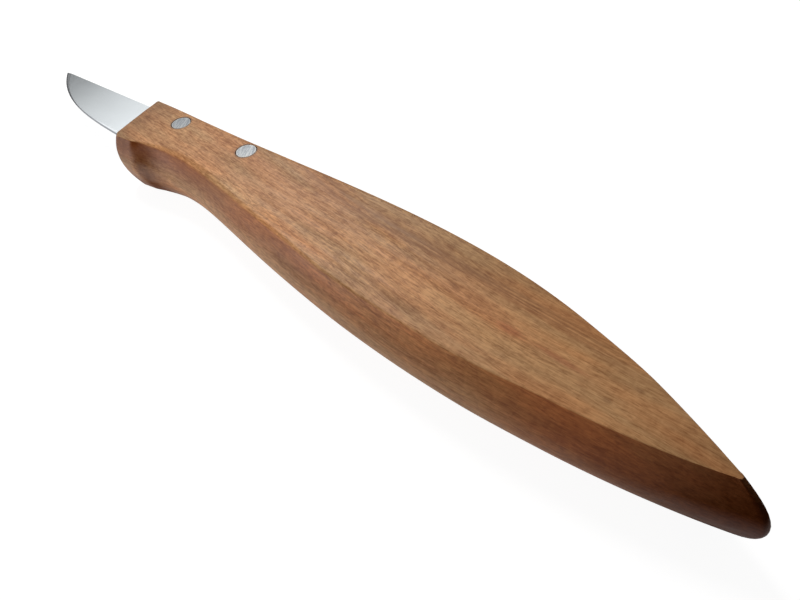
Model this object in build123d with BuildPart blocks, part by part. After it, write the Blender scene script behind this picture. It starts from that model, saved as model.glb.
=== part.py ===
from build123d import *
import os
from math import cos, radians, sin, tan

# Whittling knife: a short fixed blade whose tang sits in a slot in a one-piece wooden handle, held by
# two solid rivets. The knife lies on its flat side. X runs from the blade's point to the butt, Y from
# the belly of the handle up to its spine, and Z up from the surface that the knife lies on.
# Millimetres and degrees. Side-view places are (x, y): x from the handle's front end, positive
# towards the butt, and y from the line through the rivets, positive towards the spine.

# Handle
handle_length = 127.0
handle_thickness = 12.0  # flat face to flat face
edge_rounding = 2.1  # how far the rounded sides swell out past the flat faces
spine_height = 5.2  # the handle's highest place, at its front end
spine_back = [(30.0, 4.6), (60.0, 4.2)]  # the nearly straight back
spine_fall = [(90.0, 1.5), (108.0, -4.0)]  # and its fall towards the butt
butt_drop = 14.6  # how far the butt's point lies below the rivets
butt_radius = 0.8
butt_spine_angle = 31.0  # how steeply the spine comes down to the butt
butt_belly_angle = 13.0  # how steeply the belly comes up to it
belly_station = 93.0  # where the belly is deepest
belly_depth = 18.9
palm_swell = (48.0, -14.27)
groove_back = (35.0, -11.65)  # on the way up from the palm swell to the finger groove
finger_groove = (24.0, -9.9)
groove_rise = 14.5  # how steeply the finger groove starts to rise behind the nose
nose_corner = (9.0, -11.25)  # where the finger groove meets the nose's straight underside
nose_corner_radius = 1.0
nose_rise = 3.5  # how steeply the underside rises from there to the front end, at mid-thickness
face_nose_rise = -8.0  # and at the flat faces, where it falls
nose_front_radius = 1.9
front_slant = 8.5  # how far the front end leans back below the blade
front_corner_radius = 1.2
face_corner_radius = 0.3  # the corners of the flat faces, except at the nose
face_nose_front_radius = 1.6
ridge_easing = 0.4  # the rounding of the ridges between the flat faces and the sides

# Blade and tang
blade_length = 45.7  # point to the handle's front end
blade_thickness = 1.6
blade_spine_height = 5.15  # at the handle
point_height = 5.55
heel_depth = 5.75
edge_run = (-20.0, -4.2)  # the cutting edge behind the heel
edge_sweep = (-36.0, -0.1)  # and on its way up to the point
heel_thickness = 0.5  # left by the grind at the heel, before the edge is bevelled
point_thickness = 0.6  # left by the grind at the point
edge_thickness = 0.06  # of the sharpened edge
bevel_angle = 12.0  # of each side of the sharpened edge
bevel_reach = 2.0  # how far in the sharpening could cut, more than the thickness ever needs
tang_length = 42.0
tang_height = 7.6
tang_corner_radius = 2.0
slot_clearance = 0.05  # between the tang and its slot, and the shoulders and the handle's front end
slot_run_out = 1.5  # how far in front of the handle the cut for the slot starts

# Rivets
rivet_diameter = 4.0
front_rivet_station = 13.5
rear_rivet_margin = 9.0  # from the rear rivet to the tang's end
rivet_clearance = 0.02  # between a rivet and its hole, on the radius
rivet_edge_break = 0.12  # the chamfer round both ends

rear_rivet_station = tang_length - rear_rivet_margin

# The side view lies at mid-thickness, and is placed so that the whole knife stands centred on the
# origin with its lower face at Z = 0.
half_thickness = handle_thickness / 2
side_view = Plane(
    origin=(
        (blade_length - handle_length) / 2,
        (belly_depth - max(spine_height, point_height)) / 2,
        half_thickness,
    )
)


def direction(angle):
    """Unit vector at this angle from +X in the side view."""
    return Vector(cos(radians(angle)), sin(radians(angle)))


def corner_centre(wall_a, wall_b, radius):
    """Centre of the arc of this radius that touches two straight walls from the inside.

    A wall is the angle that its outward normal points at, and its distance from (0, 0)."""
    a, b = direction(wall_a[0]), direction(wall_b[0])
    reach_a, reach_b = wall_a[1] - radius, wall_b[1] - radius
    cross = a.X * b.Y - a.Y * b.X
    return Vector((reach_a * b.Y - reach_b * a.Y) / cross, (reach_b * a.X - reach_a * b.X) / cross)


# The straight walls that the handle's three corners are tangent to, at full size.
butt_centre = Vector(handle_length - butt_radius, -butt_drop)
spine_wall_angle = 90 - butt_spine_angle
belly_wall_angle = butt_belly_angle - 90
spine_wall_reach = butt_centre.dot(direction(spine_wall_angle)) + butt_radius
belly_wall_reach = butt_centre.dot(direction(belly_wall_angle)) + butt_radius
front_wall_angle = 180 + front_slant
front_corner = Vector(front_corner_radius, spine_height - front_corner_radius)
front_wall_reach = front_corner.dot(direction(front_wall_angle)) + front_corner_radius


def front_end(y):
    """The x at which the handle's front end, at mid-thickness, stands at this height."""
    normal = direction(front_wall_angle)
    return (front_wall_reach - normal.Y * y) / normal.X


def moved_in(curve, station, inset):
    """A station of the outline, moved square to the outline's curve into the handle."""
    along = curve.tangent_at(Vector(*station))
    return Vector(*station) + Vector(along.Y, -along.X) * inset


def handle_outline(inset, tip_radius, top_radius, low_radius, rise, full_size=None):
    """The handle's closed outline, smaller all round by inset, and its two long curves.

    The corner radii are those of the butt and of the front end's top and low corners. The rise is
    that of the nose's underside."""
    spine_wall = (spine_wall_angle, spine_wall_reach - inset)
    belly_wall = (belly_wall_angle, belly_wall_reach - inset)
    front_wall = (front_wall_angle, front_wall_reach - inset)
    tip = corner_centre(spine_wall, belly_wall, tip_radius)
    top = corner_centre((90, spine_height - inset), front_wall, top_radius)
    corner = Vector(*nose_corner) + direction(90) * inset
    nose_angle, groove_angle = 270 - rise, 270 + groove_rise
    nose_wall = (nose_angle, corner.dot(direction(nose_angle)))
    groove_wall = (groove_angle, corner.dot(direction(groove_angle)))
    low = corner_centre(front_wall, nose_wall, low_radius)
    nose = corner_centre(nose_wall, groove_wall, nose_corner_radius)
    deepest = Vector(belly_station, inset - belly_depth)
    back_points = spine_back + spine_fall
    groove_points = [palm_swell, groove_back, finger_groove]
    if full_size:
        back_points = [moved_in(full_size[0], point, inset) for point in back_points]
        groove_points = [moved_in(full_size[1], point, inset) for point in groove_points]
    top_end = top + direction(90) * top_radius
    tip_start = tip + direction(spine_wall_angle) * tip_radius
    tip_end = tip + direction(belly_wall_angle) * tip_radius
    nose_start = nose + direction(groove_angle) * nose_corner_radius
    nose_end = nose + direction(nose_angle) * nose_corner_radius
    low_start = low + direction(nose_angle) * low_radius
    low_end = low + direction(front_wall_angle) * low_radius
    top_start = top + direction(front_wall_angle) * top_radius
    with BuildLine() as outline:
        falling = direction(-butt_spine_angle)
        rising = direction(180 + butt_belly_angle)
        back = Spline(top_end, *back_points, tip_start, tangents=[(1, 0), falling])
        TangentArc(tip_start, tip_end, tangent=falling)
        Spline(tip_end, deepest, tangents=[rising, (-1, 0)])
        forward = direction(180 + groove_rise)
        groove = Spline(deepest, *groove_points, nose_start, tangents=[(-1, 0), forward])
        TangentArc(nose_start, nose_end, tangent=forward)
        Line(nose_end, low_start)
        TangentArc(low_start, low_end, tangent=direction(180 - rise))
        Line(low_end, top_start)
        TangentArc(top_start, top_end, tangent=direction(90 + front_slant))
    return outline.line, (back, groove)


def tang_outline(clearance, lead):
    """The tang's outline, larger all round by clearance.

    It starts this lead in front of the handle's front end, and runs to the tang's end."""
    low, high, end = -tang_height / 2 - clearance, tang_height / 2 + clearance, tang_length + clearance
    with BuildSketch() as tang:
        with BuildLine():
            Polyline(
                (front_end(low) - lead, low),
                (end, low),
                (end, high),
                (front_end(high) - lead, high),
                close=True,
            )
        make_face()
        fillet(tang.vertices().group_by(Axis.X)[-1], tang_corner_radius + clearance)
    return tang.sketch


def rivet_holes():
    """Cuts both rivet holes through the part that is being built."""
    with Locations(side_view):
        with Locations((front_rivet_station, 0), (rear_rivet_station, 0)):
            Hole(rivet_diameter / 2 + rivet_clearance)


def rivet(station):
    """A solid rivet through the whole handle, flush with both flat faces."""
    with BuildPart() as pin:
        with BuildSketch(side_view):
            with Locations((station, 0)):
                Circle(rivet_diameter / 2)
        extrude(amount=half_thickness, both=True)
        chamfer(pin.edges().filter_by(GeomType.CIRCLE), rivet_edge_break)
    return pin.part


# Handle: one piece of wood, full size at mid-thickness and smaller at both flat faces
with BuildPart() as handle:
    middle, long_curves = handle_outline(
        0, butt_radius, front_corner_radius, nose_front_radius, nose_rise
    )
    face, _ = handle_outline(
        edge_rounding,
        face_corner_radius,
        face_corner_radius,
        face_nose_front_radius,
        face_nose_rise,
        long_curves,
    )
    for level, outline in ((-half_thickness, face), (0, middle), (half_thickness, face)):
        with BuildSketch(side_view.offset(level)):
            add(outline)
            make_face()
    loft()
    fillet(handle.faces().filter_by(Plane.XY).edges(), ridge_easing)
    with BuildSketch(side_view):
        add(tang_outline(slot_clearance, slot_run_out))
    extrude(amount=blade_thickness / 2 + slot_clearance, both=True, mode=Mode.SUBTRACT)
    rivet_holes()
handle.part.label = "handle"

# Blade: one side is made above mid-thickness and mirrored. It is ground flat, thinner towards the
# edge and the point, and the edge is bevelled. The tang behind the shoulders keeps its thickness.
with BuildPart() as blade:
    shoulder_gap = slot_clearance / cos(radians(front_slant))
    heel = Vector(front_end(-heel_depth) - shoulder_gap, -heel_depth)
    spine_end = Vector(front_end(blade_spine_height) - shoulder_gap, blade_spine_height)
    point = Vector(-blade_length, point_height)
    with BuildLine() as sharpening:
        cutting_edge = Spline(heel, edge_run, edge_sweep, point)
    with BuildSketch(side_view):
        with BuildLine():
            add(sharpening.line)
            Polyline(point, spine_end, heel)
        make_face()
    extrude(amount=blade_thickness / 2)
    ground_spine_end = spine_end + Vector(0, 0, blade_thickness / 2)
    ground_point = point + Vector(0, 0, point_thickness / 2)
    ground_heel = heel + Vector(0, 0, heel_thickness / 2)
    upward = (ground_spine_end - ground_point).cross(ground_spine_end - ground_heel)
    grind = Plane(origin=side_view.from_local_coords(ground_point), z_dir=upward)
    split(bisect_by=grind, keep=Keep.BOTTOM)
    # The sharpening's cutter is swept along the edge, and a little past it at both ends.
    with BuildLine() as run:
        Line(cutting_edge @ 0 - cutting_edge % 0, cutting_edge @ 0)
        add(sharpening.line)
        Line(cutting_edge @ 1, cutting_edge @ 1 + cutting_edge % 1)
    path = side_view * run.wire()
    along = path % 0
    rise = bevel_reach * tan(radians(bevel_angle))
    with BuildSketch(Plane(origin=path @ 0, x_dir=(along.Y, -along.X, 0), z_dir=-along)):
        with BuildLine():
            Polyline(
                (-bevel_reach, edge_thickness / 2 - rise),
                (bevel_reach, edge_thickness / 2 + rise),
                (bevel_reach, blade_thickness),
                (-bevel_reach, blade_thickness),
                close=True,
            )
        make_face()
    sweep(path=path, mode=Mode.SUBTRACT)
    with BuildSketch(side_view):
        add(tang_outline(0, shoulder_gap))
    extrude(amount=blade_thickness / 2)
    mirror(about=side_view)
    rivet_holes()
blade.part.label = "blade"

front_rivet = rivet(front_rivet_station)
front_rivet.label = "front_rivet"
rear_rivet = rivet(rear_rivet_station)
rear_rivet.label = "rear_rivet"

os.makedirs("parts", exist_ok=True)
export_step(handle.part, "parts/handle.step")
export_step(blade.part, "parts/blade.step")
export_step(front_rivet, "parts/front_rivet.step")
export_step(rear_rivet, "parts/rear_rivet.step")
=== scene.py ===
import math

import bmesh
import bpy
import numpy as np
from bpy.props import FloatProperty, FloatVectorProperty, PointerProperty
from bpy.types import NodeSocket, Operator, Panel, PropertyGroup
from mathutils import Matrix, Vector


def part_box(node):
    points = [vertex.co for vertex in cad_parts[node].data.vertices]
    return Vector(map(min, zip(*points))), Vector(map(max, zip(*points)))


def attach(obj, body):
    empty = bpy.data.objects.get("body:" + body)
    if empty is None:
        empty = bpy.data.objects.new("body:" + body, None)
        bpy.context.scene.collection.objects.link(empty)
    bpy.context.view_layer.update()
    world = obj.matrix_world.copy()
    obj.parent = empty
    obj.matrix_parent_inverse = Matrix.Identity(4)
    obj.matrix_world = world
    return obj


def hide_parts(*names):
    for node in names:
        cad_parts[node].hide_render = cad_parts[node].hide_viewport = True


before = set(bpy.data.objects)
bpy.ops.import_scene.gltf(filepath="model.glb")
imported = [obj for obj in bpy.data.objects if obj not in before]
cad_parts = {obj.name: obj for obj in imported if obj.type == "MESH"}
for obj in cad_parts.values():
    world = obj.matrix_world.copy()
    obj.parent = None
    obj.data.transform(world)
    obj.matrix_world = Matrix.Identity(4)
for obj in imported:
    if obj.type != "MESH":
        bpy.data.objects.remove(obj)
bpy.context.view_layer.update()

bl_info = {
    "name": "Whittling knife",
    "version": (1, 0, 0),
    "blender": (4, 5, 0),
    "location": "View3D > Sidebar > Knife",
    "description": "Oiled wood, ground steel and sanded rivets for the whittling knife's frame",
    "category": "Add Mesh",
}

MM = 0.001
HANDLE_LOW, HANDLE_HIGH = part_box("handle")
BLADE_LOW, BLADE_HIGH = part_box("blade")
MID_HEIGHT = (HANDLE_LOW.z + HANDLE_HIGH.z) / 2
HALF_THICKNESS = (HANDLE_HIGH.z - HANDLE_LOW.z) / 2
HANDLE_LENGTH = HANDLE_HIGH.x - HANDLE_LOW.x
RIVETS = ("front_rivet", "rear_rivet")


def middle_of(node):
    """The middle of a CAD node's box."""
    low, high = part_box(node)
    return (low + high) / 2


def radius_of(rivet):
    """The radius of a rivet in the frame."""
    low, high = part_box(rivet)
    return (high.x - low.x) / 2


def ramped(value, start, end):
    """0 below start and 1 above end, easing smoothly between them."""
    t = np.clip((value - start) / (end - start), 0, 1)
    return t * t * (3 - 2 * t)


# The handle's front end, on the line of the rivets and at the middle of the thickness.
FRONT = Vector((HANDLE_LOW.x, middle_of("front_rivet").y, MID_HEIGHT))


# Sizes and colours


class HandleSettings(PropertyGroup):
    """Sizes and colours of the wooden handle."""

    palm_softness: FloatProperty(
        name="Palm ridge",
        description="Radius that hands have worn on the ridges at the palm swell",
        default=1.2 * MM,
        min=0.1 * MM,
        max=4 * MM,
        unit="LENGTH",
    )
    end_softness: FloatProperty(
        name="End ridge",
        description="Radius of the ridges at the butt and at the front end",
        default=0.15 * MM,
        min=0.05 * MM,
        max=1 * MM,
        unit="LENGTH",
    )
    front_flattening: FloatProperty(
        name="Front end",
        description="How much further forward the flat faces reach beside the spine",
        default=0.6 * MM,
        unit="LENGTH",
    )
    belly_narrowing: FloatProperty(
        name="Belly ridge",
        description="How far in the belly's ridges move, on either side of the palm swell",
        default=0.4 * MM,
        unit="LENGTH",
    )
    tang_slot_height: FloatProperty(
        name="Slot height",
        description="Height of the slot that the tang sits in",
        default=7.7 * MM,
        unit="LENGTH",
    )
    hole_gap: FloatProperty(
        name="Rivet gap",
        description="Gap round each rivet at the wood's surface",
        default=0.05 * MM,
        unit="LENGTH",
    )
    pale_wood: FloatVectorProperty(
        name="Pale wood",
        description="Colour of the wood between the streaks",
        size=3,
        subtype="COLOR",
        default=(0.665, 0.365, 0.165),
    )
    dark_wood: FloatVectorProperty(
        name="Dark wood",
        description="Colour of the darker streaks",
        size=3,
        subtype="COLOR",
        default=(0.22, 0.079, 0.019),
    )


class BladeSettings(PropertyGroup):
    """Finish of the blade."""

    steel: FloatVectorProperty(
        name="Steel",
        description="Colour of the ground steel",
        size=3,
        subtype="COLOR",
        default=(0.66, 0.70, 0.72),
    )
    ground_roughness: FloatProperty(
        name="Grind",
        description="Roughness of the ground sides",
        default=0.12,
        min=0,
        max=1,
        subtype="FACTOR",
    )
    honed_roughness: FloatProperty(
        name="Edge",
        description="Roughness of the honed edge bevel",
        default=0.16,
        min=0,
        max=1,
        subtype="FACTOR",
    )


class RivetSettings(PropertyGroup):
    """Finish of the rivets."""

    metal: FloatVectorProperty(
        name="Rivet metal",
        description="Colour of the rivets' ends",
        size=3,
        subtype="COLOR",
        default=(0.37, 0.385, 0.39),
    )
    roughness: FloatProperty(
        name="Sanding",
        description="Roughness of the rivets, which were sanded flush with the wood",
        default=0.22,
        min=0,
        max=1,
        subtype="FACTOR",
    )


class StageSettings(PropertyGroup):
    """Floor, light and camera."""

    lens: FloatProperty(
        name="Lens",
        description="Focal length of the camera",
        default=24.75,
        subtype="DISTANCE_CAMERA",
    )
    camera_place: FloatVectorProperty(
        name="Camera",
        description="Place of the camera, from the handle's front end on the line of the rivets",
        size=3,
        subtype="TRANSLATION",
        unit="LENGTH",
        default=(112.38 * MM, -47.97 * MM, 63.07 * MM),
    )
    camera_heading: FloatProperty(
        name="Heading",
        description="Direction the camera looks in, turned from the Y axis towards -X",
        default=math.radians(44.15),
        subtype="ANGLE",
    )
    camera_pitch: FloatProperty(
        name="Pitch",
        description="How far the camera looks down",
        default=math.radians(49.85),
        subtype="ANGLE",
    )
    camera_roll: FloatProperty(
        name="Roll",
        description="How far the camera is rolled clockwise",
        default=math.radians(9.36),
        subtype="ANGLE",
    )


class KnifeSettings(PropertyGroup):
    """Everything that the sidebar shows."""

    handle: PointerProperty(type=HandleSettings)
    blade: PointerProperty(type=BladeSettings)
    rivets: PointerProperty(type=RivetSettings)
    stage: PointerProperty(type=StageSettings)


# Materials


class Finish:
    """A material or a world, with methods that add nodes to it. They return the nodes' sockets."""

    def __init__(self, owner):
        self.owner = owner
        owner.use_nodes = True
        self.tree = owner.node_tree
        self.tree.nodes.clear()

    def node(self, kind, inputs=(), **choices):
        """Adds a node. This method alone returns the node itself."""
        made = self.tree.nodes.new(kind)
        for name, value in choices.items():
            setattr(made, name, value)
        for socket, value in dict(inputs).items():
            if isinstance(value, NodeSocket):
                self.tree.links.new(value, made.inputs[socket])
            else:
                made.inputs[socket].default_value = value
        return made

    def place_from(self, origin):
        """The place on the object, in millimetres from this origin."""
        place = self.node("ShaderNodeTexCoord").outputs["Object"]
        place = self.vector_calc("SUBTRACT", place, origin)
        return self.vector_calc("MULTIPLY", place, (1 / MM,) * 3)

    def split(self, vector):
        return self.node("ShaderNodeSeparateXYZ", {"Vector": vector}).outputs[:]

    def join(self, x, y, z):
        return self.node("ShaderNodeCombineXYZ", {"X": x, "Y": y, "Z": z}).outputs[0]

    def calc(self, operation, a, b=0.0, c=0.0):
        return self.node("ShaderNodeMath", {0: a, 1: b, 2: c}, operation=operation).outputs[0]

    def product(self, value, *factors):
        for factor in factors:
            value = self.calc("MULTIPLY", value, factor)
        return value

    def vector_calc(self, operation, a, b, output="Vector"):
        made = self.node("ShaderNodeVectorMath", {0: a, 1: b}, operation=operation)
        return made.outputs[output]

    def distance(self, x, y):
        """How far the point x, y lies from 0, 0."""
        flat = self.join(x, y, 0.0)
        return self.vector_calc("DISTANCE", flat, (0, 0, 0), "Value")

    def noise(self, place, fineness, detail=2.0, roughness=0.5, distortion=0.0):
        """Noise from 0 to 1. Fineness is how often it changes per millimetre of X, Y and Z."""
        inputs = {
            "Vector": self.vector_calc("MULTIPLY", place, fineness),
            "Scale": 1.0,
            "Detail": detail,
            "Roughness": roughness,
            "Distortion": distortion,
        }
        return self.node("ShaderNodeTexNoise", inputs).outputs["Fac"]

    def between(self, value, start, end, low=0.0, high=1.0):
        """low where value is at start and high where it is at end, easing between them."""
        inputs = {0: value, 1: start, 2: end, 3: low, 4: high}
        made = self.node("ShaderNodeMapRange", inputs, interpolation_type="SMOOTHSTEP")
        return made.outputs[0]

    def choice(self, share, a, b):
        """The number a where share is 0, and b where it is 1."""
        return self.node("ShaderNodeMix", {0: share, 2: a, 3: b}, data_type="FLOAT").outputs[0]

    def blend(self, share, a, b, blend_type="MIX"):
        """The colour a where share is 0, and b where it is 1."""
        inputs = {0: share, 6: self.rgba(a), 7: self.rgba(b)}
        made = self.node("ShaderNodeMix", inputs, data_type="RGBA", blend_type=blend_type)
        return made.outputs[2]

    def tinted(self, share, colour, tint):
        """The colour times the tint, as far as share says."""
        return self.blend(share, colour, tint, "MULTIPLY")

    def rgba(self, colour):
        return colour if isinstance(colour, NodeSocket) else (*tuple(colour)[:3], 1)

    def bump(self, height, strength, distance):
        inputs = {"Height": height, "Strength": strength, "Distance": distance}
        return self.node("ShaderNodeBump", inputs).outputs[0]

    def finish(self, inputs):
        """Gives the material its surface, and returns the material."""
        surface = self.node("ShaderNodeBsdfPrincipled", inputs).outputs[0]
        self.node("ShaderNodeOutputMaterial", {"Surface": surface})
        return self.owner


# In the wood, x runs from the handle's front end to its butt, y from the line of the rivets to the
# spine and z up from the middle of the thickness, all in millimetres.
GRAIN_FALL = 0.11  # how fast the grain falls towards the belly on its way to the butt
GRAIN_WANDER = 6.0  # how far the grain wanders from its straight run
HEARTWOOD_PLACE = 5.0  # where the dark lines lie across the grain
RING_WIDTH = 0.45  # how far the dark ring reaches from a rivet
RING_STRENGTH = 0.6
FIBRE_DEPTH = 0.03  # how far the fibres stand out of the surface
FIBRE_CONTRAST = (2.3, 1.45)  # up to the palm swell, and at the butt
FRONT_SOAKED_AND_SHADED, BUTT_SOAKED_AND_SHADED = 0.58, 0.82  # how much colour is left at the two ends, darkened by oil and by painted shade
END_GRAIN = (0.13, 0.34)  # facing along the grain this far, the wood starts to darken with oil and painted shade, then most
SIDE = (0.62, 0.85)  # facing up or down this far, a side turns into a flat face

# How finely each layer of the grain changes along X, Y and Z.
WANDER = (0.016, 0.03, 0.03)
BROAD = (0.013, 0.2, 0.16)
STREAKS = (0.07, 0.95, 0.8)
FIBRES = (0.46, 3.2, 3.0)
RIPPLE = (0.75, 0.3, 0.3)
WARMTH = (0.05, 0.3, 0.3)
PORES = (0.7, 5.5, 5.5)
HEARTWOOD_LINES = (0.03, 1.9, 1.0)

# How the oil shines: on the faces, on the sides and at the middle of the sides.
FACE_SHEEN, SIDE_SHEEN, POLISHED_SHEEN = 0.22, 0.32, 0.4
WOOD_ROUGHNESS = (0.45, 0.58)

# Colours, and tints that multiply them.
HEARTWOOD = (0.24, 0.1, 0.035)
OPEN_PORE = (0.16, 0.05, 0.012)
# End grain colours, darkened by oil and, at the butt, by painted shade.
END_GRAIN_SHADED_PALE = (0.095, 0.03, 0.011)
END_GRAIN_SHADED_DARK = (0.058, 0.016, 0.006)
# Painted shade below the belly's ridges.
SHADE_BELOW_RIDGE = (0.12, 0.04, 0.012)
RIVET_RING_DARK = (0.12, 0.06, 0.035)
WARM_TINT = (1.07, 0.97, 0.88)
COOL_TINT = (0.95, 1.03, 1.05)
SPINE_TINT = (0.92, 0.9, 0.85)
# Painted shade on the sides: redder, and darker at the butt.
SIDE_SHADE_TINT = (1.12, 0.88, 0.64)
BUTT_SIDE_SHADE_TINT = (0.84, 0.57, 0.41)

# Marks in the upper face, and painted highlights beside the belly's ridge: place, half length, half
# width, strength and tint.
MARKS_AND_HIGHLIGHTS = (
    ((93.7, -9.9), 2.2, 0.7, 0.75, (0.85, 0.67, 0.66)),
    ((101.0, -10.6), 3.6, 0.5, 0.75, (0.85, 0.66, 0.66)),
    ((107.7, -12.7), 0.6, 0.4, 0.5, (0.5, 0.43, 0.4)),
    ((110.2, -9.6), 0.7, 0.35, 0.5, (0.5, 0.43, 0.4)),
    # These five rows are painted highlight along the belly's ridge.
    ((31.0, -7.0), 5.5, 0.9, 1.0, (1.2, 1.2, 1.2)),
    ((41.0, -8.9), 5.5, 0.9, 1.0, (1.2, 1.2, 1.2)),
    ((50.0, -10.6), 5.0, 0.9, 1.0, (1.08, 1.07, 1.04)),
    ((58.0, -11.6), 14.0, 1.6, 1.0, (1.19, 1.13, 1.04)),
    ((79.0, -10.3), 23.0, 3.0, 1.0, (1.14, 1.08, 1.0)),
    ((34.0, -4.0), 9.0, 2.2, 1.0, (0.91, 0.91, 0.89)),
    ((16.5, -6.3), 4.5, 0.9, 1.0, (0.83, 0.82, 0.8)),
    ((69.0, -4.3), 5.5, 1.4, 1.0, (1.17, 1.1, 0.98)),
    ((98.0, -8.0), 9.0, 2.0, 1.0, (1.09, 1.09, 1.06)),
)


def oiled_wood(settings):
    """Fine-grained fruitwood, sanded and oiled. The grain runs along the handle."""
    wood = Finish(bpy.data.materials.new("oiled_wood"))
    place = wood.place_from(FRONT)
    x, y, z = wood.split(place)
    fallen = wood.calc("MULTIPLY_ADD", x, GRAIN_FALL, y)
    wander = wood.noise(place, WANDER, detail=1)
    grain = wood.join(x, wood.calc("MULTIPLY_ADD", wander, GRAIN_WANDER, fallen), z)
    streaks = wood.noise(grain, STREAKS, detail=3, roughness=0.6)
    fibres = wood.noise(grain, FIBRES, detail=3, roughness=0.7, distortion=0.25)

    colour = streaked(wood, grain, streaks, fibres, x, settings)
    colour = with_heartwood(wood, colour, streaks, x, fallen, z)
    # The two ends are darkened: partly by oil, which soaks in deepest there, and partly as painted
    # shade at the nose and the butt.
    soaked_and_shaded = wood.product(
        wood.between(x, 2, 15, FRONT_SOAKED_AND_SHADED, 1.0), wood.between(x, 108, 124, 1.0, BUTT_SOAKED_AND_SHADED)
    )
    colour = wood.tinted(1.0, colour, wood.join(soaked_and_shaded, soaked_and_shaded, soaked_and_shaded))
    colour = with_marks_and_highlights(wood, colour, fibres, x, fallen, z)
    pores = wood.noise(grain, PORES, detail=1)
    open_pores = wood.between(pores, 0.58, 0.72, 0.0, 0.4)
    colour = wood.blend(open_pores, colour, OPEN_PORE)

    # Where the surface cuts across the grain, the wood drinks more oil and goes darker. The
    # darkening is deeper than the oil gives, as painted shade at the butt, which faces away from
    # the light.
    facing = wood.node("ShaderNodeNewGeometry").outputs["Normal"]
    run = Vector((1, -GRAIN_FALL, 0)).normalized()
    cut = wood.calc("ABSOLUTE", wood.vector_calc("DOT_PRODUCT", facing, run, "Value"))
    end_grain = wood.between(cut, *END_GRAIN, 0.0, 0.9)
    drunk_and_shaded = wood.blend(wood.between(fibres, 0.35, 0.65), END_GRAIN_SHADED_PALE, END_GRAIN_SHADED_DARK)
    colour = wood.blend(end_grain, colour, drunk_and_shaded)

    # Painted shade: the sides are darkened just below the ridges, from the finger groove to the
    # palm swell, where they lean away from the light.
    upright = wood.between(wood.calc("ABSOLUTE", wood.split(facing)[2]), *SIDE, 1.0, 0.0)
    off_middle = wood.calc("ABSOLUTE", z)
    shaded_stretch = wood.between(x, 55, 80, wood.between(x, 28, 46, 0.6, 0.4), 0.0)
    shade_below_ridge = wood.product(upright, wood.between(off_middle, 0.5, 4.5), shaded_stretch)
    colour = wood.blend(shade_below_ridge, colour, SHADE_BELOW_RIDGE)
    # Painted shade: the sides are tinted redder than the faces, and darker towards the butt, which
    # faces away from the light.
    side_shade = wood.between(off_middle, 1.0, 5.0, wood.between(x, 88, 106, 0.1, 1.0), 1.0)
    side_shade_colour = wood.blend(wood.between(x, 84, 108), SIDE_SHADE_TINT, BUTT_SIDE_SHADE_TINT)
    colour = wood.tinted(wood.product(upright, side_shade), colour, side_shade_colour)
    colour = with_rivet_rings(wood, colour, x, y)

    # The oil shines most at the middle of the sides, and not at all where the wood drinks it.
    sheen = wood.between(upright, 0.0, 1.0, FACE_SHEEN, SIDE_SHEEN)
    sheen = wood.between(end_grain, 0.0, 0.8, sheen, 0.0)
    polished = wood.product(
        upright,
        wood.between(off_middle, 0.3, 3.0, POLISHED_SHEEN, 0.0),
        wood.between(x, 85, 105, 1.0, 0.5),
        wood.between(x, 6, 18, 0.5, 1.0),
    )
    height = wood.calc("MULTIPLY_ADD", fibres, 0.5, wood.product(open_pores, -1.0))
    return wood.finish(
        {
            "Base Color": colour,
            "Roughness": wood.between(streaks, 0.2, 0.8, *WOOD_ROUGHNESS),
            "Specular IOR Level": wood.calc("MAXIMUM", sheen, polished),
            "Normal": wood.bump(height, 0.35, FIBRE_DEPTH * MM),
        }
    )


def streaked(wood, grain, streaks, fibres, x, settings):
    """Streaks between the pale and the dark colour, in slowly changing warmth."""
    broad = wood.noise(grain, BROAD)
    ripple = wood.noise(grain, RIPPLE, roughness=0.6, distortion=0.8)
    contrast = wood.between(x, 70, 105, *FIBRE_CONTRAST)
    tone = wood.product(wood.calc("SUBTRACT", fibres, 0.5), contrast)
    for layer, weight in ((broad, 0.5), (streaks, 0.8), (ripple, 0.6)):
        tone = wood.calc("MULTIPLY_ADD", layer, weight, wood.calc("SUBTRACT", tone, weight / 2))
    darkness = wood.between(wood.calc("ADD", tone, 0.5), -0.3, 1.3)
    colour = wood.blend(darkness, settings.pale_wood, settings.dark_wood)
    warmth = wood.noise(grain, WARMTH)
    warm = wood.blend(wood.between(warmth, 0.3, 0.7), WARM_TINT, COOL_TINT)
    return wood.tinted(1.0, colour, warm)


def with_heartwood(wood, colour, streaks, x, fallen, z):
    """Thin dark lines, which leave the spine beside the rear rivet and run to the butt."""
    bent = wood.calc("ADD", fallen, wood.between(x, 36, 64, -4.0, 0.0))
    off_place = wood.calc("ABSOLUTE", wood.calc("SUBTRACT", bent, HEARTWOOD_PLACE))
    lines = wood.noise(wood.join(x, bent, z), HEARTWOOD_LINES)
    band = wood.product(
        wood.between(wood.calc("MULTIPLY_ADD", streaks, 2.0, off_place), 1.2, 3.2, 1.0, 0.0),
        wood.between(x, 32, 44),
        wood.between(x, 92, 112, 1.0, 0.45),
        wood.between(lines, 0.42, 0.55, 0.1, 0.62),
    )
    colour = wood.blend(band, colour, HEARTWOOD)
    # Beyond the lines, towards the spine, the wood stays a little darker.
    beyond = wood.between(bent, HEARTWOOD_PLACE - 1, HEARTWOOD_PLACE + 1)
    return wood.tinted(wood.product(beyond, wood.between(x, 32, 60)), colour, SPINE_TINT)


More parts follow.
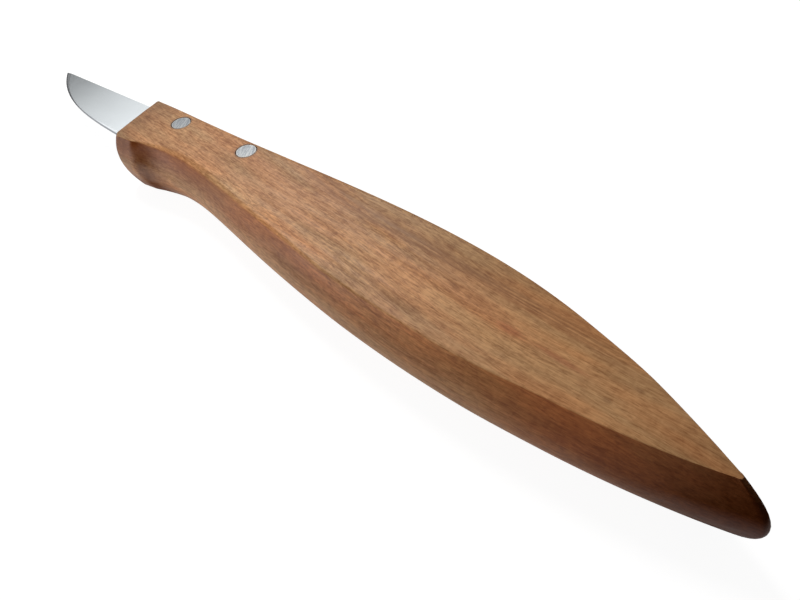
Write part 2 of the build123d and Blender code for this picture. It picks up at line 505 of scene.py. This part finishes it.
def with_marks_and_highlights(wood, colour, fibres, x, fallen, z):
    """The marks and the painted highlights in the upper face, frayed by the fibres."""
    above = wood.between(z, 0, 3)
    for (mark_x, mark_y), half_length, half_width, strength, tint in MARKS_AND_HIGHLIGHTS:
        mark_fallen = mark_y + GRAIN_FALL * mark_x
        reach = wood.distance(
            wood.calc("DIVIDE", wood.calc("SUBTRACT", x, mark_x), half_length),
            wood.calc("DIVIDE", wood.calc("SUBTRACT", fallen, mark_fallen), half_width),
        )
        frayed = wood.calc("MULTIPLY_ADD", fibres, 1.2, reach)
        mark = wood.product(wood.between(frayed, 0.9, 1.9, strength, 0.0), above)
        colour = wood.tinted(mark, colour, tint)
    return colour


def with_rivet_rings(wood, colour, x, y):
    """A narrow dark ring in the wood right beside each rivet."""
    for name in RIVETS:
        centre = (middle_of(name) - FRONT) / MM
        off_centre = wood.distance(
            wood.calc("SUBTRACT", x, centre.x), wood.calc("SUBTRACT", y, centre.y)
        )
        radius = radius_of(name) / MM
        ring = wood.between(off_centre, radius, radius + RING_WIDTH, RING_STRENGTH, 0.0)
        colour = wood.blend(ring, colour, RIVET_RING_DARK)
    return colour


# Colours that the steel has in places.
CLOUDED_STEEL = (0.5, 0.52, 0.55)
HONED_STEEL = (0.9, 0.92, 0.95)
# Painted dark reflection at the very edge.
EDGE_REFLECTION_DARK = (0.12, 0.13, 0.15)
# Painted shade on the step up to the tang.
STEP_SHADE = (0.05, 0.045, 0.04)
GRIND_LINES = (9.0, 0.25, 1.0)  # how finely the lines of the grind change along X, Y and Z
GRIND_DEPTH = 0.004  # how deep they are, in millimetres
CLOUDS = (0.09, 0.16, 0.1)
BEVEL = (0.985, 0.994)  # facing up or down this far, the bevel turns into the ground side


def ground_steel(settings):
    """Stainless steel, ground flat along the sides and honed on the edge bevel."""
    steel = Finish(bpy.data.materials.new("ground_steel"))
    place = steel.place_from((0, 0, 0))
    lines = steel.noise(place, GRIND_LINES, detail=3, roughness=0.7)
    cloud = steel.noise(place, CLOUDS)
    facing = steel.split(steel.node("ShaderNodeNewGeometry").outputs["True Normal"])
    # The edge bevel leans more than the ground sides do, and the spine faces the other way.
    bevel = steel.between(steel.calc("ABSOLUTE", facing[2]), *BEVEL, 1.0, 0.0)
    honed = steel.product(bevel, steel.between(facing[1], 0.3, 0.6, 1.0, 0.0))
    rough = settings.ground_roughness
    ground = steel.between(lines, 0.3, 0.7, rough - 0.02, rough + 0.03)
    clouded = steel.between(cloud, 0.3, 0.7, 0.0, 0.12)
    colour = steel.blend(clouded, settings.steel, CLOUDED_STEEL)
    colour = steel.blend(steel.product(honed, 0.4), colour, HONED_STEEL)
    # Painted reflection: the last tenth of a millimetre, down to the very edge, is painted dark, as
    # it mirrors only the dark.
    height = steel.calc("SUBTRACT", steel.split(place)[2], MID_HEIGHT / MM)
    edge = steel.between(steel.calc("ABSOLUTE", height), 0.08, 0.13, 0.8, 0.0)
    colour = steel.blend(steel.product(edge, honed), colour, EDGE_REFLECTION_DARK)
    # Painted shade: the narrow step up to the tang, at the handle's front end, is painted nearly
    # black so that it shows no reflection, and is left dull.
    shaded_step = steel.between(facing[0], -0.95, -0.9, 1.0, 0.0)
    colour = steel.blend(shaded_step, colour, STEP_SHADE)
    roughness = steel.choice(honed, ground, settings.honed_roughness)
    return steel.finish(
        {
            "Base Color": colour,
            "Metallic": 1.0,
            "Roughness": steel.calc("MULTIPLY_ADD", shaded_step, 0.4, roughness),
            "Normal": steel.bump(lines, 0.1, GRIND_DEPTH * MM),
        }
    )


# Colours of a rivet's end beside its own.
DULL_METAL = (0.20, 0.22, 0.24)
# Painted highlight round the rim.
RIM_HIGHLIGHT = (0.42, 0.40, 0.37)
SCRATCHES = (0.3, 2.4, 1.0)  # how finely the scratches change along and across their run
SCRATCH_ANGLE = math.radians(62)
SCRATCH_DEPTH = 0.01  # in millimetres


def sanded_rivet(settings, node):
    """Aluminium, sanded flush with the wood: scratched at a slant, with a painted highlight round
    the rim.
    """
    metal = Finish(bpy.data.materials.new(node + "_metal"))
    place = metal.place_from(middle_of(node))
    x, y, _ = metal.split(place)
    outward = metal.calc("DIVIDE", metal.distance(x, y), radius_of(node) / MM)
    turned = metal.node(
        "ShaderNodeVectorRotate", {"Vector": place, "Angle": SCRATCH_ANGLE}, rotation_type="Z_AXIS"
    ).outputs[0]
    scratches = metal.noise(turned, SCRATCHES, detail=3, roughness=0.65)
    colour = metal.blend(metal.between(scratches, 0.35, 0.65), settings.metal, DULL_METAL)
    # Painted highlight: the rim of the end is painted brighter.
    rim_highlight = metal.product(metal.between(outward, 0.82, 0.93), 0.7)
    return metal.finish(
        {
            "Base Color": metal.blend(rim_highlight, colour, RIM_HIGHLIGHT),
            "Metallic": 1.0,
            "Roughness": settings.roughness,
            "Normal": metal.bump(scratches, 0.3, SCRATCH_DEPTH * MM),
        }
    )


# Shapes


# The handle's three corners, as the directions that they point in, in degrees from +X, and how
# many points the outline gets from each to the next: along the spine, the front end and the belly.
CORNERS = ((-9, 300), (139, 70), (229, 300))
CROWDING = 0.85  # how much closer the points stand near a corner
SMOOTHING_PASSES = 60
UNSMOOTHED = (3.5 * MM, 8 * MM)  # how far from a corner the smoothing starts, and is full
MERGING = 0.001 * MM  # points of the CAD mesh that lie closer together are one
HALVINGS = 40  # enough to find a height to the last digit
RING_STEPS = 10  # rings up the side, and one fewer round the ridge
FACE_RIM = 0.15 * MM  # a narrow strip of the flat face beside the ridge

# Stretches over which the handle's form eases from one to the next, from its front end.
FRONT_END = (3 * MM, 12 * MM)
INTO_GROOVE = (10 * MM, 20 * MM)
INTO_PALM = (55 * MM, 70 * MM)
PAST_PALM = (92 * MM, 104 * MM)
BELOW_RIVETS = (3 * MM, 8 * MM)  # from the line of the rivets towards the belly

# The wear of the ridges, in stretches of the handle's length from 0 at the front end to 1.
WEAR_STARTS = (0.03, 0.1)
WEAR_EASES = (0.55, 0.85)
WEAR_ENDS = (0.92, 0.99)
GROOVE_STARTS = (0.06, 0.13)
GROOVE_ENDS = (0.2, 0.32)
BUTT_EASE = 0.55  # how much less the ridges are worn towards the butt than at the palm
GROOVE_WEAR = 0.8  # how much more they are worn in the finger groove

ROD_SEGMENTS = 96


def outline_at(node, height):
    """The outer outline of a CAD node at this height, as (x, y) rows that run anticlockwise."""
    mesh = bmesh.new()
    mesh.from_mesh(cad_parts[node].data)
    bmesh.ops.remove_doubles(mesh, verts=mesh.verts, dist=MERGING)
    everything = mesh.verts[:] + mesh.edges[:] + mesh.faces[:]
    cut = bmesh.ops.bisect_plane(mesh, geom=everything, plane_co=(0, 0, height), plane_no=(0, 0, 1))
    unused = {part for part in cut["geom_cut"] if isinstance(part, bmesh.types.BMEdge)}
    loops = []
    while unused:
        edge = min(unused, key=lambda e: e.index)
        unused.discard(edge)
        loop = list(edge.verts)
        while loop[-1] is not loop[0]:
            edge = next((e for e in loop[-1].link_edges if e in unused), None)
            if edge is None:
                break
            unused.discard(edge)
            loop.append(edge.other_vert(loop[-1]))
        loops.append(np.array([vertex.co.xy for vertex in loop[:-1]]))
    mesh.free()
    loop = max(loops, key=lambda points: np.ptp(points[:, 0]))
    following = np.roll(loop, -1, axis=0)
    area = (loop[:, 0] * following[:, 1] - loop[:, 1] * following[:, 0]).sum()
    return loop if area > 0 else loop[::-1]


def evenly_spaced(outline):
    """The outline with its points spaced alike whatever its size, closer together at corners."""
    starts = []
    for angle, _ in CORNERS:
        towards = np.array((math.cos(math.radians(angle)), math.sin(math.radians(angle))))
        starts.append(int(np.argmax(outline @ towards)))
    runs = []
    for index, (_, count) in enumerate(CORNERS):
        start, end = starts[index], starts[(index + 1) % len(CORNERS)]
        steps = (end - start) % len(outline) + 1
        run = np.take(outline, np.arange(start, start + steps), axis=0, mode="wrap")
        along = np.append(0, np.cumsum(np.linalg.norm(np.diff(run, axis=0), axis=1)))
        t = np.arange(count) / count
        t = (1 - CROWDING) * t + CROWDING * (1 - np.cos(math.pi * t)) / 2
        spaced = [np.interp(t * along[-1], along, run[:, axis]) for axis in (0, 1)]
        runs.append(np.stack(spaced, axis=1))
    return np.concatenate(runs)


def smoothed(outline):
    """The outline without the facets of the CAD mesh. Its corners and front end stay."""
    ends = np.cumsum([0] + [count for _, count in CORNERS])
    from_corner = np.full(len(outline), np.inf)
    for corner in ends[:-1]:
        from_corner = np.minimum(from_corner, np.linalg.norm(outline - outline[corner], axis=1))
    share = ramped(from_corner, *UNSMOOTHED)[:, None] * 0.5
    share[ends[1] : ends[2]] = 0
    for _ in range(SMOOTHING_PASSES):
        beside = (np.roll(outline, 1, axis=0) + np.roll(outline, -1, axis=0)) / 2
        outline = outline + share * (beside - outline)
    return outline


def handle_outline(settings):
    """The outline at the middle of the thickness, and how far it moves up to the flat face."""
    heights = (HALF_THICKNESS / 6, HALF_THICKNESS * 5 / 6)
    near, far = (
        smoothed(evenly_spaced(outline_at("handle", MID_HEIGHT + height))) for height in heights
    )
    near_share, far_share = ((height / HALF_THICKNESS) ** 2 for height in heights)
    growth = (far - near) / (far_share - near_share)
    middle = near - growth * near_share
    from_front = middle[:, 0] - HANDLE_LOW.x

    # The front end is sanded flatter than the frame's, most of all beside the spine.
    near_front = 1 - ramped(from_front, *FRONT_END)
    near_spine = 0.4 + 0.6 * ramped(middle[:, 1], HANDLE_LOW.y + 7 * MM, HANDLE_HIGH.y - 4 * MM)
    growth[:, 0] -= settings.front_flattening * near_front * near_spine

    # The belly's ridges stand further in than the frame's, except at the palm swell.
    off_palm = ramped(from_front, *INTO_GROOVE) * (1 - ramped(from_front, *INTO_PALM))
    off_palm += ramped(from_front, *PAST_PALM)
    on_belly = ramped(FRONT.y - middle[:, 1], *BELOW_RIVETS)
    growth[:, 1] += settings.belly_narrowing * off_palm * on_belly
    return middle, growth


def ridge_radius(middle, settings):
    """The ridge's radius: least at both ends, most in the finger groove, then at the palm."""
    along = (middle[:, 0] - HANDLE_LOW.x) / HANDLE_LENGTH
    worn = ramped(along, *WEAR_STARTS)
    worn *= 1 - BUTT_EASE * ramped(along, *WEAR_EASES)
    worn *= 1 - ramped(along, *WEAR_ENDS)
    in_groove = ramped(along, *GROOVE_STARTS) * (1 - ramped(along, *GROOVE_ENDS))
    worn *= 1 + GROOVE_WEAR * in_groove
    return settings.end_softness + (settings.palm_softness - settings.end_softness) * worn


def ridge_start(depth, radius):
    """The height where the ridge's rounding leaves the bulging side, found by halving."""
    low, high = np.zeros_like(depth), np.full_like(depth, HALF_THICKNESS)
    for _ in range(HALVINGS):
        trial = (low + high) / 2
        slope = 2 * depth * trial / HALF_THICKNESS**2
        over = trial - radius * slope / np.sqrt(1 + slope**2) > HALF_THICKNESS - radius
        low, high = np.where(over, low, trial), np.where(over, trial, high)
    return (low + high) / 2


def handle_surface(settings):
    """Rings of points from the middle of the handle's thickness up to its flat face."""
    middle, growth = handle_outline(settings)
    depth = np.linalg.norm(growth, axis=1)
    inward = growth / depth[:, None]
    radius = ridge_radius(middle, settings)
    start = ridge_start(depth, radius)
    lean = np.arctan(2 * depth * start / HALF_THICKNESS**2)
    centre = depth * (start / HALF_THICKNESS) ** 2 + radius * np.cos(lean)

    rings = []
    for step in np.linspace(0, 1, RING_STEPS):
        height = start * step
        rings.append((depth * (height / HALF_THICKNESS) ** 2, height))
    for step in np.linspace(0, 1, RING_STEPS)[1:]:
        angle = lean + (math.pi / 2 - lean) * step
        height = HALF_THICKNESS - radius * (1 - np.sin(angle))
        rings.append((centre - radius * np.cos(angle), height))
    inset, height = rings[-1]
    rings.append((inset + FACE_RIM, height))
    return [
        np.column_stack((middle + inward * inset[:, None], np.broadcast_to(height, depth.shape)))
        for inset, height in rings
    ]


def object_from(mesh, name):
    """A new object that holds this bmesh."""
    data = bpy.data.meshes.new(name)
    bmesh.ops.recalc_face_normals(mesh, faces=mesh.faces)
    mesh.to_mesh(data)
    mesh.free()
    made = bpy.data.objects.new(name, data)
    bpy.context.scene.collection.objects.link(made)
    return made


def cut_from(piece, cutter):
    """Cuts one object's shape out of another, and deletes the cutter."""
    modifier = piece.modifiers.new("cut", "BOOLEAN")
    modifier.operation = "DIFFERENCE"
    modifier.solver = "EXACT"
    modifier.object = cutter
    bpy.context.view_layer.update()
    evaluated = piece.evaluated_get(bpy.context.evaluated_depsgraph_get())
    cut = bpy.data.meshes.new_from_object(evaluated)
    piece.modifiers.clear()
    old, piece.data = piece.data, cut
    bpy.data.meshes.remove(old)
    used = cutter.data
    bpy.data.objects.remove(cutter)
    bpy.data.meshes.remove(used)


def block(name, low, high):
    """A block between two corners, for cutting."""
    mesh = bmesh.new()
    size = high - low
    matrix = Matrix.Translation((low + high) / 2) @ Matrix.Diagonal((*size, 1))
    bmesh.ops.create_cube(mesh, size=1, matrix=matrix)
    return object_from(mesh, name)


def rod(name, middle, radius, length):
    """An upright rod, for cutting."""
    mesh = bmesh.new()
    bmesh.ops.create_cone(
        mesh,
        cap_ends=True,
        segments=ROD_SEGMENTS,
        radius1=radius,
        radius2=radius,
        depth=length,
        matrix=Matrix.Translation(middle),
    )
    return object_from(mesh, name)


def handle_mesh(settings):
    """The handle as one closed mesh, before its holes and its slot are cut."""
    rings = handle_surface(settings)
    levels = [ring * (1, 1, -1) for ring in rings[:0:-1]] + rings
    mesh = bmesh.new()
    rows = []
    for level in levels:
        rows.append([mesh.verts.new((x, y, z + MID_HEIGHT)) for x, y, z in level])
    for lower, upper in zip(rows, rows[1:]):
        for index in range(len(lower)):
            after = (index + 1) % len(lower)
            mesh.faces.new((lower[index], lower[after], upper[after], upper[index]))
    mesh.faces.new(rows[-1])
    mesh.faces.new(rows[0][::-1])
    return object_from(mesh, "wood_handle")


# Pieces


SLOT_GAP = 0.05 * MM  # between the tang and the wood, above, below and behind it
SLOT_OVERRUN = 2 * MM  # how far the slot's cutter reaches out of the front end
ROD_LENGTH = 4 * HALF_THICKNESS
SHARP_ANGLE = math.radians(40)


class KNIFE_OT_handle(Operator):
    """Make the handle from the frame's outlines, with worn ridges, and give it its wood"""

    bl_idname = "knife.handle"
    bl_label = "Wooden handle"

    def execute(self, context):
        settings = context.scene.knife.handle
        handle = handle_mesh(settings)
        half_height = settings.tang_slot_height / 2
        low = Vector((HANDLE_LOW.x - SLOT_OVERRUN, FRONT.y - half_height, BLADE_LOW.z - SLOT_GAP))
        high = Vector((BLADE_HIGH.x + SLOT_GAP, FRONT.y + half_height, BLADE_HIGH.z + SLOT_GAP))
        cut_from(handle, block("slot_cutter", low, high))
        for name in RIVETS:
            radius = radius_of(name) + settings.hole_gap
            cut_from(handle, rod("hole_cutter", middle_of(name), radius, ROD_LENGTH))
        handle.data.shade_smooth()
        handle.data.set_sharp_from_angle(angle=SHARP_ANGLE)
        handle.data.materials.clear()
        handle.data.materials.append(oiled_wood(settings))
        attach(handle, "root")
        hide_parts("handle")
        return {"FINISHED"}


def give(node, material):
    """Gives a CAD node this material."""
    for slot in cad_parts[node].material_slots:
        slot.material = material


class KNIFE_OT_blade(Operator):
    """Give the blade its ground steel"""

    bl_idname = "knife.blade"
    bl_label = "Steel blade"

    def execute(self, context):
        give("blade", ground_steel(context.scene.knife.blade))
        return {"FINISHED"}


class KNIFE_OT_rivets(Operator):
    """Give both rivets their sanded ends"""

    bl_idname = "knife.rivets"
    bl_label = "Rivets"

    def execute(self, context):
        for name in RIVETS:
            give(name, sanded_rivet(context.scene.knife.rivets, name))
        return {"FINISHED"}


# Stage


FLOOR_RADIUS = 3
FLOOR_SEGMENTS = 64
FLOOR_DROP = 0.02 * MM  # keeps the floor clear of the handle's lower face
FLOOR_WHITE = 0.93  # how much the floor glows where it is seen, so that it shows white
FLOOR_MIRRORED = 0.55  # how bright it is in reflections
FLOOR_SHADE_SEEN = (0.18,) * 3
FLOOR_SHADE = (0.45,) * 3

# How bright the room round the knife is, where it isn't seen directly.
ROOM_NEAR, ROOM_FAR = 0.036, 0.248
BAND_POWER = 1.28
NEAR_SIDE_POWER = 0.336
CEILING_POWER = 0.2

# Soft lamps: name, place, size, power and colour. Each points at the front half of the handle.
LAMPS = (
    ("key_lamp", (-0.17, 0.13, 0.28), 0.13, 0.93, (1.0, 0.97, 0.95)),
    ("side_lamp", (-0.1, -0.14, 0.045), 0.08, 0.145, (1.0, 0.93, 0.95)),
)
LAMP_TARGET = Vector((-0.02, 0, 0))


class KNIFE_OT_stage(Operator):
    """Add the pale floor, the soft lights, the pale surroundings and the camera"""

    bl_idname = "knife.stage"
    bl_label = "Stage"

    def execute(self, context):
        scene = context.scene
        make_floor()
        make_surroundings(scene)
        make_lights(scene)
        make_camera(scene)
        scene.view_settings.view_transform = "Standard"
        return {"FINISHED"}


def make_floor():
    """A wide pale floor that shows white, and keeps the knife's soft shadow."""
    paint = Finish(bpy.data.materials.new("floor_paint"))
    rays = paint.node("ShaderNodeLightPath").outputs
    seen = rays["Is Camera Ray"]
    shade = paint.blend(seen, FLOOR_SHADE, FLOOR_SHADE_SEEN)
    matt = paint.node("ShaderNodeBsdfDiffuse", {"Color": shade}).outputs[0]
    mirrored = paint.product(rays["Is Glossy Ray"], FLOOR_MIRRORED)
    strength = paint.calc("MULTIPLY_ADD", seen, FLOOR_WHITE, mirrored)
    glow = paint.node("ShaderNodeEmission", {"Strength": strength}).outputs[0]
    both = paint.node("ShaderNodeAddShader", {0: matt, 1: glow}).outputs[0]
    paint.node("ShaderNodeOutputMaterial", {"Surface": both})
    mesh = bmesh.new()
    bmesh.ops.create_circle(mesh, cap_ends=True, segments=FLOOR_SEGMENTS, radius=FLOOR_RADIUS)
    bmesh.ops.translate(mesh, verts=mesh.verts, vec=(0, 0, -FLOOR_DROP))
    floor = object_from(mesh, "floor")
    floor.data.materials.append(paint.owner)


def make_surroundings(scene):
    """White where it is seen directly. Else a dim room, with a bright band behind the knife."""
    room = Finish(bpy.data.worlds.new("surroundings"))
    rays = room.node("ShaderNodeLightPath").outputs
    x, y, z = room.split(room.node("ShaderNodeTexCoord").outputs["Generated"])
    # 1 on the far side of the knife, towards its point, and -1 on the near side, at the butt.
    behind = room.calc("MULTIPLY_ADD", y, 0.7, room.product(x, -0.7))
    dim = room.between(behind, -0.9, 0.9, ROOM_NEAR, ROOM_FAR)
    # The band has a sharp lower edge and a softer upper one.
    low_edge = room.between(z, 0.375, 0.405, 0.0, 0.35)
    rise = room.calc("ADD", low_edge, room.between(z, 0.37, 0.5, 0.0, 0.65))
    top = room.between(z, 0.49, 0.58, 1.0, 0.15)
    band = room.product(rise, top, room.between(behind, -0.1, 0.6))
    # The near side of the room and its ceiling are brighter in reflections than the far side.
    near_side = room.between(behind, 0.0, 0.4, NEAR_SIDE_POWER, 0.0)
    ceiling = room.between(z, 0.68, 0.9, 0.0, CEILING_POWER)
    mirrored = room.calc("MULTIPLY_ADD", band, BAND_POWER, dim)
    mirrored = room.calc("ADD", mirrored, room.calc("ADD", near_side, ceiling))
    strength = room.choice(rays["Is Glossy Ray"], dim, mirrored)
    strength = room.choice(rays["Is Camera Ray"], strength, 1.0)
    inputs = {"Color": (1, 1, 1, 1), "Strength": strength}
    sky = room.node("ShaderNodeBackground", inputs).outputs[0]
    room.node("ShaderNodeOutputWorld", {"Surface": sky})
    scene.world = room.owner


def make_lights(scene):
    """The soft lamps."""
    for name, place, size, power, colour in LAMPS:
        lamp = bpy.data.lights.new(name, "AREA")
        lamp.shape = "DISK"
        lamp.size = size
        lamp.energy = power
        lamp.color = colour
        made = bpy.data.objects.new(name, lamp)
        made.location = place
        made.rotation_euler = (LAMP_TARGET - Vector(place)).to_track_quat("-Z", "Y").to_euler()
        scene.collection.objects.link(made)


def make_camera(scene):
    """The camera, from its place, its heading, its pitch and its roll."""
    settings = scene.knife.stage
    lens = bpy.data.cameras.new("camera")
    lens.lens = settings.lens
    lens.clip_start = 5 * MM
    camera = bpy.data.objects.new("camera", lens)
    turned = (
        Matrix.Rotation(settings.camera_heading, 4, "Z")
        @ Matrix.Rotation(math.pi / 2 - settings.camera_pitch, 4, "X")
        @ Matrix.Rotation(-settings.camera_roll, 4, "Z")
    )
    camera.matrix_world = Matrix.Translation(FRONT + Vector(settings.camera_place)) @ turned
    scene.collection.objects.link(camera)
    scene.camera = camera


# Each step's operator has the same name as the group of its settings.
STEPS = ("handle", "blade", "rivets", "stage")


class KNIFE_PT_panel(Panel):
    """Sidebar panel with the pieces and their settings"""

    bl_label = "Whittling knife"
    bl_idname = "KNIFE_PT_panel"
    bl_space_type = "VIEW_3D"
    bl_region_type = "UI"
    bl_category = "Knife"

    def draw(self, context):
        for step in STEPS:
            box = self.layout.box()
            box.operator("knife." + step)
            group = getattr(context.scene.knife, step)
            for name in group.bl_rna.properties.keys():
                if name not in ("rna_type", "name"):
                    box.prop(group, name)


CLASSES = (
    HandleSettings,
    BladeSettings,
    RivetSettings,
    StageSettings,
    KnifeSettings,
    KNIFE_OT_handle,
    KNIFE_OT_blade,
    KNIFE_OT_rivets,
    KNIFE_OT_stage,
    KNIFE_PT_panel,
)


def register():
    for made in CLASSES:
        bpy.utils.register_class(made)
    bpy.types.Scene.knife = PointerProperty(type=KnifeSettings)


def unregister():
    del bpy.types.Scene.knife
    for made in reversed(CLASSES):
        bpy.utils.unregister_class(made)


def main():
    register()
    for step in STEPS:
        getattr(bpy.ops.knife, step)()


if __name__ == "__main__":
    main()
